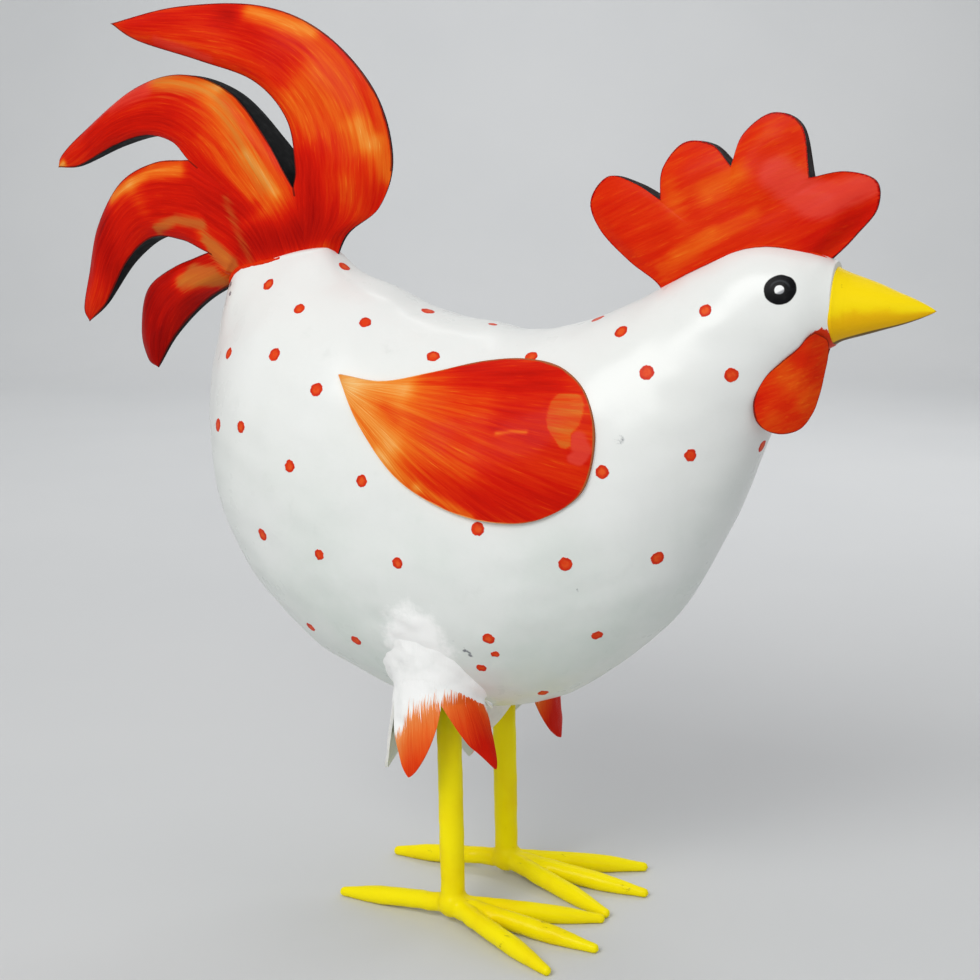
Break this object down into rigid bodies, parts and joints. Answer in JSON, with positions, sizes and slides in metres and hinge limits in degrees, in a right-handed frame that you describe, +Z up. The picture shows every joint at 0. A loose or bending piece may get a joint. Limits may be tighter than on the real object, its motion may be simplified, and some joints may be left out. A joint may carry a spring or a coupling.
{
  "type": "hen figurine",
  "caption": "Standing hen figurine of painted sheet steel with a fanned feather tail, lobed comb and rod legs with welded toes.",
  "frame": {"origin": "on the ground, under the middle of the hen's length and between its feet", "axes": "+X towards the beak, +Y towards the hen's left side, +Z up"},
  "size_m": [0.4194, 0.1228, 0.4036],
  "materials": {
    "white_enamel": "gloss white enamel with small red dots over hammered sheet",
    "tail_enamel": "brushed red and orange enamel",
    "comb_enamel": "brushed orange-red enamel",
    "wing_enamel": "brushed red and orange enamel",
    "cuff_enamel": "white enamel with orange-red petal tips",
    "beak_enamel": "gloss warm yellow enamel",
    "leg_enamel": "gloss lemon yellow enamel"
  },
  "bodies": {
    "root": {"body": "white_enamel", "tail": "tail_enamel", "comb": "comb_enamel", "beak": "beak_enamel", "wing_right": "wing_enamel", "wing_left": "wing_enamel", "wattle_right": "comb_enamel", "wattle_left": "comb_enamel", "thigh_right": "cuff_enamel", "thigh_left": "cuff_enamel", "leg_right": "leg_enamel", "leg_left": "leg_enamel", "toe_right_middle": "leg_enamel", "toe_right_inner": "leg_enamel", "toe_right_outer": "leg_enamel", "toe_right_back": "leg_enamel", "toe_left_middle": "leg_enamel", "toe_left_inner": "leg_enamel", "toe_left_outer": "leg_enamel", "toe_left_back": "leg_enamel"}
  },
  "joints": []
}
